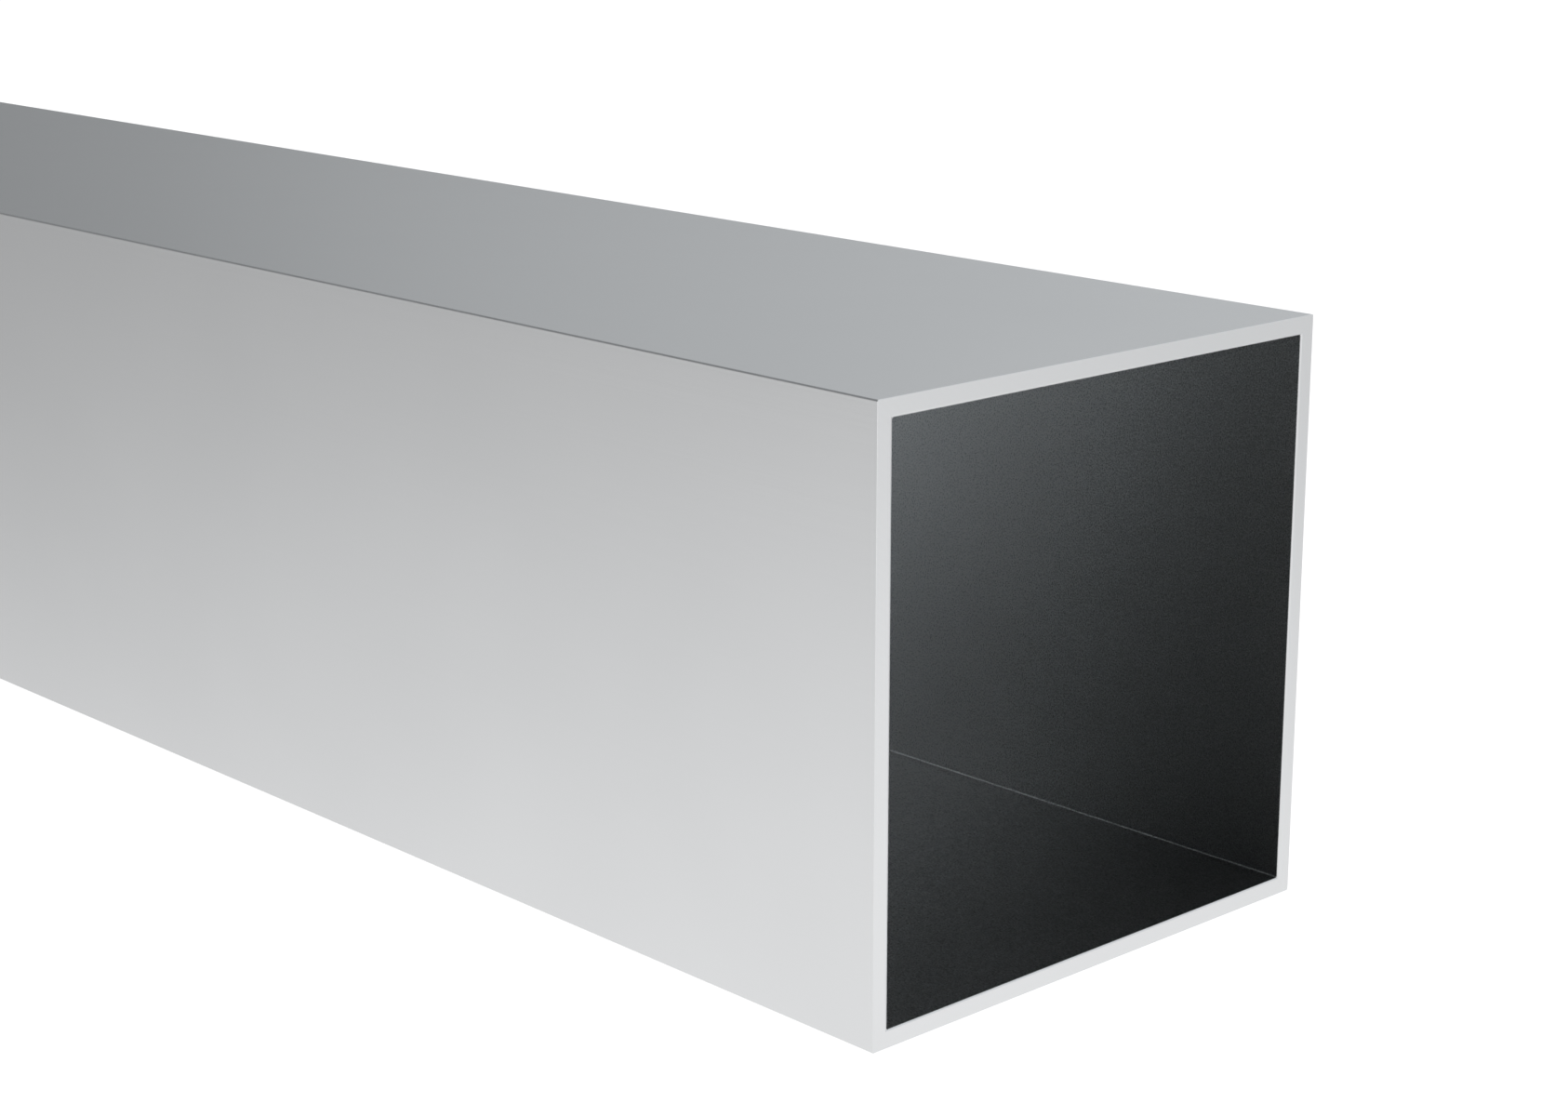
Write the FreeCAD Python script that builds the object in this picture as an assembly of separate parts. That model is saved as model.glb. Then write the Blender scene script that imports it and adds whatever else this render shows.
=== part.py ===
import FreeCAD, Part
import math
import os

# Square aluminium tube, 100 x 100 x 3 mm, in a 500 mm length.
# It is extruded in one piece, so its section is the same from end to end: four flat
# walls, nearly sharp corners, and a square hollow right through. Both ends are sawn
# square across, and the edges that the saw left are lightly rounded.
#
# Millimetres. The tube lies along X on its lower face. The origin is the middle of
# that face, and +Z is up.

SIDE = 100.0  # outside width and height
WALL = 3.0
LENGTH = 500.0
OUTER_CORNER_RADIUS = 0.3  # left by the die on the four outside corners
INNER_CORNER_RADIUS = 0.3  # left by the mandrel in the four corners of the hollow
EDGE_BREAK = 0.1  # radius that deburring leaves on the sawn edges, outside and inside

HOLLOW = SIDE - 2 * WALL
QUARTER_TURN = 90
ALONG = FreeCAD.Vector(1, 0, 0)


def on_section(y, z):
    """A point on the section at the tube's -X end, measured from the tube's axis."""
    return FreeCAD.Vector(-LENGTH / 2, y, SIDE / 2 + z)


def rounded_square(width, radius):
    """A closed outline on the section: one corner and one flat, repeated round the axis."""
    half = width / 2
    arc_end = half - radius
    arc_middle = arc_end + radius * math.sqrt(0.5)
    corner = Part.Arc(
        on_section(half, arc_end),
        on_section(arc_middle, arc_middle),
        on_section(arc_end, half),
    ).toShape()
    flat = Part.makeLine(on_section(arc_end, half), on_section(-arc_end, half))
    outline = [
        piece.rotated(on_section(0, 0), ALONG, side * QUARTER_TURN)
        for side in range(4)
        for piece in (corner, flat)
    ]
    return Part.Wire(outline)


def extruded_tube():
    """The walls as they leave the die: the section drawn out along the whole length."""
    outside = rounded_square(SIDE, OUTER_CORNER_RADIUS)
    hollow = rounded_square(HOLLOW, INNER_CORNER_RADIUS)
    section = Part.makeFace([outside, hollow], "Part::FaceMakerBullseye")
    return section.extrude(ALONG * LENGTH)


def sawn_edges(tube):
    """The closed loops round both ends: the only edges that lie flat across the tube."""
    flat_across = 1e-6
    return [edge for edge in tube.Edges if edge.BoundBox.XLength < flat_across]


def square_tube():
    """One length of tube, with its sawn edges broken."""
    tube = extruded_tube()
    return tube.makeFillet(EDGE_BREAK, sawn_edges(tube)).Solids[0]


def main():
    os.makedirs("parts", exist_ok=True)
    square_tube().exportStep("parts/square_tube.step")


main()
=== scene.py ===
import math

import bmesh
import bpy
from mathutils import Matrix, Vector


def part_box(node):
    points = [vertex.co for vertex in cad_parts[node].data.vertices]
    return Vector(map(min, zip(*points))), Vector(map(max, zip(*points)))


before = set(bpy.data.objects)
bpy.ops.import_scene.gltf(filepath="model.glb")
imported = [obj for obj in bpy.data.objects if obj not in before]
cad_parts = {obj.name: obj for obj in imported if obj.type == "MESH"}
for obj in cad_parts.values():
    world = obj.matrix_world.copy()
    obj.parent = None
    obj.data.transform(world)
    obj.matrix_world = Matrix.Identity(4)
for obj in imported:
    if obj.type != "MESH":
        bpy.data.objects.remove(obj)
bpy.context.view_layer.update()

# The tube: one 500 mm length of extruded aluminium, 100 x 100 x 3 mm, sawn square at both
# ends, deburred and clear anodised. Its shape is the CAD node as it stands, and only its
# material is made here. It lies along X, and the end that the camera sees is at +X.
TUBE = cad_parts["square_tube"]
LOW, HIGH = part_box("square_tube")
MM = 0.001
SIDE = HIGH.z - LOW.z
HALF_SIDE = SIDE / 2
HALF_LENGTH = HIGH.x
WALL = 3 * MM
HALF_HOLLOW = HALF_SIDE - WALL
EDGE_BREAK = 0.1 * MM


def linear(hex_colour):
    """An sRGB hex colour as the linear colour that a node takes."""
    channels = [int(hex_colour[i:i + 2], 16) / 255 for i in (1, 3, 5)]
    return [c / 12.92 if c <= 0.04045 else ((c + 0.055) / 1.055) ** 2.4 for c in channels] + [1.0]


def add(tree, kind, settings=None, inputs=None):
    """Adds a node. An input takes a value, a socket, or a node, which stands for its first output."""
    node = tree.nodes.new(kind)
    for name, value in (settings or {}).items():
        setattr(node, name, value)
    for name, value in (inputs or {}).items():
        if isinstance(value, bpy.types.Node):
            value = value.outputs[0]
        if isinstance(value, bpy.types.NodeSocket):
            tree.links.new(value, node.inputs[name])
        else:
            node.inputs[name].default_value = value
    return node


def empty_material(name):
    """A material whose node tree is still empty."""
    material = bpy.data.materials.new(name)
    material.use_nodes = True
    material.node_tree.nodes.clear()
    return material


# Clear anodised aluminium, etched first, so the extruded faces are satin, pale and even, and
# mirror only broad, soft shapes. Both ends are finished alike, so all is laid out from the
# tube's axis and from the nearer mouth.
aluminium = empty_material("satin_anodised_extruded_aluminium")
tree = aluminium.node_tree
place = add(tree, "ShaderNodeTexCoord").outputs["Object"]
axes = add(tree, "ShaderNodeSeparateXYZ", None, {"Vector": place})
along = add(tree, "ShaderNodeMath", {"operation": "ABSOLUTE"}, {0: axes.outputs["X"]})
across = add(tree, "ShaderNodeMath", {"operation": "ABSOLUTE"}, {0: axes.outputs["Y"]})
above_axis = add(tree, "ShaderNodeMath", {"operation": "SUBTRACT"}, {
    0: axes.outputs["Z"], 1: HALF_SIDE,
})
up = add(tree, "ShaderNodeMath", {"operation": "ABSOLUTE"}, {0: above_axis})
from_axis = add(tree, "ShaderNodeMath", {"operation": "MAXIMUM"}, {0: across, 1: up})
from_mouth = add(tree, "ShaderNodeMath", {"operation": "SUBTRACT"}, {0: HALF_LENGTH, 1: along})
from_hollow = add(tree, "ShaderNodeMath", {"operation": "SUBTRACT"}, {0: from_axis, 1: HALF_HOLLOW})

# Its marks, which the eye finds close up: straight die lines along the tube, the grain of
# the etch, and the saw's shallow arcs on the ends. Real die lines are 0.1 to 0.3 mm apart,
# and are drawn three times as far apart and as deep, to show at this distance. The real
# grain is a few hundredths of a millimetre, and is drawn as coarse as it needs to be to show.
LINE_SPACING = 0.7 * MM
LINE_RUN = 160 * MM
ETCH_GRAIN = 0.48 * MM
GRAIN_SHARE = 0.3
SAW_MARK_SPACING = 1.3 * MM
BLADE_CENTRE = Vector((0, 60 * MM, 215 * MM))
ARC_SHARE = 0.4
WAVE_NODE_SPACING = math.pi / 10
MARK_HEIGHT = 0.012 * MM

stretched = add(tree, "ShaderNodeMapping", None, {
    "Vector": place, "Scale": (1 / LINE_RUN, 1 / LINE_SPACING, 1 / LINE_SPACING),
})
die_lines = add(tree, "ShaderNodeTexNoise", None, {"Vector": stretched, "Scale": 1.0, "Detail": 2.0})
etch_grain = add(tree, "ShaderNodeTexNoise", None, {
    "Vector": place, "Scale": 1 / ETCH_GRAIN, "Detail": 1.0,
})
extruded_marks = add(tree, "ShaderNodeMath", {"operation": "MULTIPLY_ADD"}, {
    0: etch_grain, 1: GRAIN_SHARE, 2: die_lines,
})
from_blade = add(tree, "ShaderNodeMapping", None, {"Vector": place, "Location": -BLADE_CENTRE})
saw_arcs = add(tree, "ShaderNodeTexWave", {"wave_type": "RINGS", "rings_direction": "X"}, {
    "Vector": from_blade, "Scale": WAVE_NODE_SPACING / SAW_MARK_SPACING,
    "Distortion": 2.5, "Detail": 2.0, "Detail Scale": 0.4,
})
soft_arcs = add(tree, "ShaderNodeMath", {"operation": "MULTIPLY"}, {0: saw_arcs, 1: ARC_SHARE})
sawn = add(tree, "ShaderNodeMath", {"operation": "GREATER_THAN"}, {
    0: along, 1: HALF_LENGTH - EDGE_BREAK / 2,
})
marks = add(tree, "ShaderNodeMix", {"data_type": "FLOAT"}, {
    0: sawn, 2: extruded_marks, 3: soft_arcs,
})
bump = add(tree, "ShaderNodeBump", None, {"Height": marks, "Distance": MARK_HEIGHT})

# The hollow's edge at each mouth, deburred with a scraper, which rounded it over more than
# the break that the shape has. The metal falls away towards the edge, up to 45 degrees, and
# the half of the round nearest to the edge has the outside's finish.
SCRAPED_WIDTH = 0.34 * MM

from_edge = add(tree, "ShaderNodeMath", {"operation": "ADD"}, {0: from_mouth, 1: from_hollow})
near_edge = add(tree, "ShaderNodeMapRange", None, {
    "Value": from_edge, "From Min": 0.0, "From Max": SCRAPED_WIDTH, "To Min": 1.0, "To Max": 0.0,
})
fall = add(tree, "ShaderNodeMath", {"operation": "MULTIPLY"}, {0: near_edge, 1: near_edge})
bump = add(tree, "ShaderNodeBump", {"invert": True}, {
    "Height": fall, "Distance": SCRAPED_WIDTH / 2, "Normal": bump,
})
scraped = add(tree, "ShaderNodeMath", {"operation": "LESS_THAN"}, {
    0: from_edge, 1: SCRAPED_WIDTH / 2,
})
outside = add(tree, "ShaderNodeMath", {"operation": "GREATER_THAN"}, {
    0: from_hollow, 1: EDGE_BREAK / 4,
})
outside = add(tree, "ShaderNodeMath", {"operation": "MAXIMUM"}, {0: outside, 1: scraped})

# The hollow: the smooth, bright skin that the mandrel drew, frosted in its corners, where
# the mandrel doesn't rub. Its colour carries painted shade: it greys in from each mouth,
# most and furthest along the lower back edge, the LOW one, and less in the corners,
# which paints a lighter line along them.
BARE = "#F7F9FA"
SHADE_COLOUR_LOW, SHADE_COLOUR_HIGH = "#9D9FA0", "#CDCFD0"
SHADE_REACH_LOW, SHADE_REACH_HIGH = 84 * MM, 40 * MM
SHADE_LEAN_LOW, SHADE_LEAN_HIGH = -84 * MM, 32 * MM
FROSTED_BAND = 0.18 * MM
CORNER_SHADE_SHARE = 0.85
DRAWN_ROUGHNESS = 0.30
FROSTED_ROUGHNESS = 0.47

into_corner = add(tree, "ShaderNodeMath", {"operation": "MINIMUM"}, {0: across, 1: up})
in_corner = add(tree, "ShaderNodeMath", {"operation": "GREATER_THAN"}, {
    0: into_corner, 1: HALF_HOLLOW - FROSTED_BAND,
})
inner_skin = add(tree, "ShaderNodeMapRange", None, {
    "Value": in_corner, "To Min": DRAWN_ROUGHNESS, "To Max": FROSTED_ROUGHNESS,
})
# The painted shade leans across the hollow: darkest and furthest in along the lower back edge.
height = add(tree, "ShaderNodeMath", {"operation": "SUBTRACT"}, {
    0: above_axis, 1: axes.outputs["Y"],
})
from_shaded_edge = add(tree, "ShaderNodeMapRange", None, {
    "Value": height, "From Min": SHADE_LEAN_LOW, "From Max": SHADE_LEAN_HIGH,
})
shade_reach = add(tree, "ShaderNodeMapRange", None, {
    "Value": from_shaded_edge, "To Min": SHADE_REACH_LOW, "To Max": SHADE_REACH_HIGH,
})
# Painted shade: how grey the hollow is, full at each mouth and none past the shade's reach.
painted_shade = add(tree, "ShaderNodeMapRange", {"interpolation_type": "SMOOTHSTEP"}, {
    "Value": from_mouth, "From Min": 0.0, "From Max": shade_reach, "To Min": 1.0, "To Max": 0.0,
})
# The corners keep less of the painted shade, which paints a lighter line along them.
corner_shade_kept = add(tree, "ShaderNodeMapRange", None, {
    "Value": in_corner, "To Min": 1.0, "To Max": CORNER_SHADE_SHARE,
})
painted_shade = add(tree, "ShaderNodeMath", {"operation": "MULTIPLY"}, {0: painted_shade, 1: corner_shade_kept})
shade_colour = add(tree, "ShaderNodeMix", {"data_type": "RGBA"}, {
    0: from_shaded_edge, 6: linear(SHADE_COLOUR_LOW), 7: linear(SHADE_COLOUR_HIGH),
})
# The hollow's colour: the bare skin, greyed near the mouths by the painted shade.
drawn = add(tree, "ShaderNodeMix", {"data_type": "RGBA"}, {
    0: painted_shade, 6: linear(BARE), 7: shade_colour.outputs[2],
})

# The bath's fine specks all over that skin, drawn 0.24 mm wide, which is as coarse as they
# need to be to show. They lighten it no further than white.
SPECKLE_SIZE = 0.24 * MM
SPECKLE_CONTRAST = 1.2

speckle = add(tree, "ShaderNodeTexNoise", None, {
    "Vector": place, "Scale": 1 / SPECKLE_SIZE, "Detail": 0.0,
})
specks = add(tree, "ShaderNodeMath", {"operation": "MULTIPLY_ADD"}, {
    0: speckle, 1: SPECKLE_CONTRAST, 2: 1 - SPECKLE_CONTRAST / 2,
})
drawn = add(tree, "ShaderNodeMix", {
    "data_type": "RGBA", "blend_type": "MULTIPLY", "clamp_result": True,
}, {
    0: 1.0, 6: drawn.outputs[2], 7: specks,
})

# The etched outside, pale and satin, with a slow cloudiness in its colour and in the gloss
# of the whole tube.
PALE, DARKER = "#F1F2F3", "#EDEEEF"
SATIN_ROUGHNESS = 0.40
CLOUD_SIZE = 45 * MM
CLOUD_ROUGHNESS = 0.02

clouds = add(tree, "ShaderNodeTexNoise", None, {
    "Vector": place, "Scale": 1 / CLOUD_SIZE, "Detail": 2.0,
})
etched = add(tree, "ShaderNodeMix", {"data_type": "RGBA"}, {
    0: clouds, 6: linear(PALE), 7: linear(DARKER),
})
colour = add(tree, "ShaderNodeMix", {"data_type": "RGBA"}, {
    0: outside, 6: drawn.outputs[2], 7: etched.outputs[2],
})
skin = add(tree, "ShaderNodeMapRange", None, {
    "Value": outside, "To Min": inner_skin, "To Max": SATIN_ROUGHNESS,
})
unevenness = add(tree, "ShaderNodeMapRange", None, {
    "Value": clouds, "To Min": -CLOUD_ROUGHNESS, "To Max": CLOUD_ROUGHNESS,
})
roughness = add(tree, "ShaderNodeMath", {"operation": "ADD"}, {0: skin, 1: unevenness})
surface = add(tree, "ShaderNodeBsdfPrincipled", None, {
    "Base Color": colour.outputs[2], "Metallic": 1.0, "Roughness": roughness, "Normal": bump,
})
add(tree, "ShaderNodeOutputMaterial", None, {"Surface": surface})
TUBE.material_slots[0].material = aluminium

# The camera: it looks at the near end from the front right and a little above. Its place
# is in sides of the tube, from the middle of the foot of the near end.
NEAR_END = Vector((HALF_LENGTH, 0, 0))
CAMERA_STANDS = Vector((2.9913, -3.4711, 1.8826))
CAMERA_LOOKS = Vector((-0.706988, 0.659453, -0.255519))
SENSOR_WIDTH = 36
FOCAL_LENGTH_PIXELS = 3270.3
PHOTO_WIDTH_PIXELS = 1686

camera_data = bpy.data.cameras.new("camera")
camera_data.sensor_width = SENSOR_WIDTH
camera_data.lens = SENSOR_WIDTH * FOCAL_LENGTH_PIXELS / PHOTO_WIDTH_PIXELS
camera = bpy.data.objects.new("camera", camera_data)
camera.location = NEAR_END + CAMERA_STANDS * SIDE
camera.rotation_euler = CAMERA_LOOKS.to_track_quat("-Z", "Y").to_euler()
bpy.context.scene.collection.objects.link(camera)
bpy.context.scene.camera = camera


def stage_piece(name, build, material):
    """Makes a piece of the studio, which isn't part of the object, nor sampled as a lamp."""
    shape = bmesh.new()
    build(shape)
    mesh = bpy.data.meshes.new(name)
    shape.to_mesh(mesh)
    shape.free()
    mesh.materials.append(material)
    material.cycles.emission_sampling = "NONE"
    piece = bpy.data.objects.new(name, mesh)
    bpy.context.scene.collection.objects.link(piece)
    return piece


# The floor: a wide sweep of matt white paper. The camera sees it white, with the tube's
# faint shadow. The metal sees what lights it in a studio: a pool of light round the near
# end that fades along the tube and behind it.
WHITE = "#FFFFFF"
FLOOR_HALF = 30.0
PAPER = "#B4B4B4"
WHITE_TO_CAMERA = 0.89
POOL_BRIGHT, POOL_DIM = 0.93, 0.444
POOL_FADES = -0.749, 0.175
BEHIND_DIM = 0.675
BEHIND_FADES = -0.038, 0.429

paper = empty_material("matt_white_paper_sweep")
tree = paper.node_tree
ray = add(tree, "ShaderNodeLightPath")
spot = add(tree, "ShaderNodeVectorMath", {"operation": "SUBTRACT"}, {
    0: add(tree, "ShaderNodeTexCoord").outputs["Object"], 1: NEAR_END,
})
spot = add(tree, "ShaderNodeSeparateXYZ", None, {"Vector": spot})
pool = add(tree, "ShaderNodeMapRange", {"interpolation_type": "SMOOTHSTEP"}, {
    "Value": spot.outputs["X"], "From Min": POOL_FADES[0], "From Max": POOL_FADES[1],
    "To Min": POOL_DIM, "To Max": POOL_BRIGHT,
})
behind = add(tree, "ShaderNodeMapRange", {"interpolation_type": "SMOOTHSTEP"}, {
    "Value": spot.outputs["Y"], "From Min": BEHIND_FADES[0], "From Max": BEHIND_FADES[1],
    "To Min": 1.0, "To Max": BEHIND_DIM,
})
pool = add(tree, "ShaderNodeMath", {"operation": "MULTIPLY"}, {0: pool, 1: behind})
to_metal = add(tree, "ShaderNodeEmission", None, {"Color": linear(WHITE), "Strength": pool})
plain = add(tree, "ShaderNodeBsdfDiffuse", None, {"Color": linear(PAPER)})
lift = add(tree, "ShaderNodeMath", {"operation": "MULTIPLY"}, {
    0: ray.outputs["Is Camera Ray"], 1: WHITE_TO_CAMERA,
})
lift = add(tree, "ShaderNodeEmission", None, {"Color": linear(WHITE), "Strength": lift})
seen = add(tree, "ShaderNodeAddShader", None, {0: plain, 1: lift})
mirrored = add(tree, "ShaderNodeMath", {"operation": "MAXIMUM"}, {
    0: ray.outputs["Is Glossy Ray"], 1: ray.outputs["Is Transmission Ray"],
})
floor_shader = add(tree, "ShaderNodeMixShader", None, {0: mirrored, 1: seen, 2: to_metal})
add(tree, "ShaderNodeOutputMaterial", None, {"Surface": floor_shader})
stage_piece("studio_floor", lambda shape: bmesh.ops.create_grid(shape, size=FLOOR_HALF), paper)

# The studio's walls and ceiling: painted, pale at the back right and grey at the front
# left. They are what the metal mirrors above the floor, and the camera looks through them.
ROOM_RADIUS = 6.0
PALE_SIDE = math.radians(38.3)
WALL_GREY, WALL_PALE = 0.204, 0.741
WALL_FADES = -0.574 * ROOM_RADIUS, 0.663 * ROOM_RADIUS
WALL_COLOUR = "#FAFDFF"
GREEN_SHARE = linear(WALL_COLOUR)[1]

paint = empty_material("matt_painted_studio_walls")
tree = paint.node_tree
spot = add(tree, "ShaderNodeVectorMath", {"operation": "SUBTRACT"}, {
    0: add(tree, "ShaderNodeTexCoord").outputs["Object"], 1: NEAR_END,
})
towards = add(tree, "ShaderNodeVectorMath", {"operation": "DOT_PRODUCT"}, {
    0: spot, 1: (math.cos(PALE_SIDE), math.sin(PALE_SIDE), 0),
})
brightness = add(tree, "ShaderNodeMapRange", {"interpolation_type": "SMOOTHSTEP"}, {
    "Value": towards.outputs["Value"], "From Min": WALL_FADES[0], "From Max": WALL_FADES[1],
    "To Min": WALL_GREY / GREEN_SHARE, "To Max": WALL_PALE / GREEN_SHARE,
})
glow = add(tree, "ShaderNodeEmission", None, {"Color": linear(WALL_COLOUR), "Strength": brightness})
add(tree, "ShaderNodeOutputMaterial", None, {"Surface": glow})
room = stage_piece("studio_walls", lambda shape: bmesh.ops.create_uvsphere(
    shape, u_segments=64, v_segments=32, radius=ROOM_RADIUS, matrix=Matrix.Translation(NEAR_END)), paint)
room.visible_camera = False

# A white card just past the far end, cut to the hollow's size, lights the inside from the
# back. Only the metal sees it: the camera looks through it into the far end.
CARD_GAP = 1 * MM
CARD_PLACE = Matrix.Translation((LOW.x - CARD_GAP, 0, HALF_SIDE)) @ Matrix.Rotation(math.pi / 2, 4, "Y")

card_white = empty_material("matt_white_card")
tree = card_white.node_tree
glow = add(tree, "ShaderNodeEmission", None, {"Color": linear(WALL_COLOUR), "Strength": 1.0})
add(tree, "ShaderNodeOutputMaterial", None, {"Surface": glow})
card = stage_piece("white_card", lambda shape: bmesh.ops.create_grid(
    shape, size=HALF_HOLLOW, matrix=CARD_PLACE), card_white)
card.visible_camera = False
card.visible_diffuse = False
card.visible_shadow = False

# The softbox: one soft lamp behind the tube, above its far half.
SOFTBOX_WIDE, SOFTBOX_HIGH = 0.70, 0.79
SOFTBOX_RADIANCE = 0.265
SOFTBOX_DISTANCE = 1.476
AZIMUTH, ELEVATION = math.radians(137.6), math.radians(35.4)
TO_SOFTBOX = Vector((
    math.cos(AZIMUTH) * math.cos(ELEVATION), math.sin(AZIMUTH) * math.cos(ELEVATION), math.sin(ELEVATION),
))

lamp_data = bpy.data.lights.new("softbox", "AREA")
lamp_data.shape = "RECTANGLE"
lamp_data.size = SOFTBOX_WIDE
lamp_data.size_y = SOFTBOX_HIGH
lamp_data.color = [c / GREEN_SHARE for c in linear(WALL_COLOUR)[:3]]
lamp_data.energy = SOFTBOX_RADIANCE * math.pi * SOFTBOX_WIDE * SOFTBOX_HIGH
lamp = bpy.data.objects.new("softbox", lamp_data)
lamp.location = NEAR_END + Vector((0, 0, HALF_SIDE)) + TO_SOFTBOX * SOFTBOX_DISTANCE
lamp.rotation_euler = TO_SOFTBOX.to_track_quat("Z", "Y").to_euler()
lamp.visible_camera = False
bpy.context.scene.collection.objects.link(lamp)

# The world: plain white behind everything that the camera or a mirror sees, and half as
# strong as a light.
SKY_LIGHT, SKY_SHOWN = 0.5, 1.0

world = bpy.data.worlds.new("white_studio")
bpy.context.scene.world = world
world.use_nodes = True
tree = world.node_tree
tree.nodes.clear()
ray = add(tree, "ShaderNodeLightPath")
shown = add(tree, "ShaderNodeMath", {"operation": "MAXIMUM"}, {
    0: ray.outputs["Is Camera Ray"], 1: ray.outputs["Is Glossy Ray"],
})
shown = add(tree, "ShaderNodeMath", {"operation": "MAXIMUM"}, {
    0: shown, 1: ray.outputs["Is Transmission Ray"],
})
level = add(tree, "ShaderNodeMapRange", None, {
    "Value": shown, "To Min": SKY_LIGHT, "To Max": SKY_SHOWN,
})
sky = add(tree, "ShaderNodeBackground", None, {"Color": linear(WHITE), "Strength": level})
add(tree, "ShaderNodeOutputWorld", None, {"Surface": sky})

bpy.context.scene.view_settings.view_transform = "Standard"
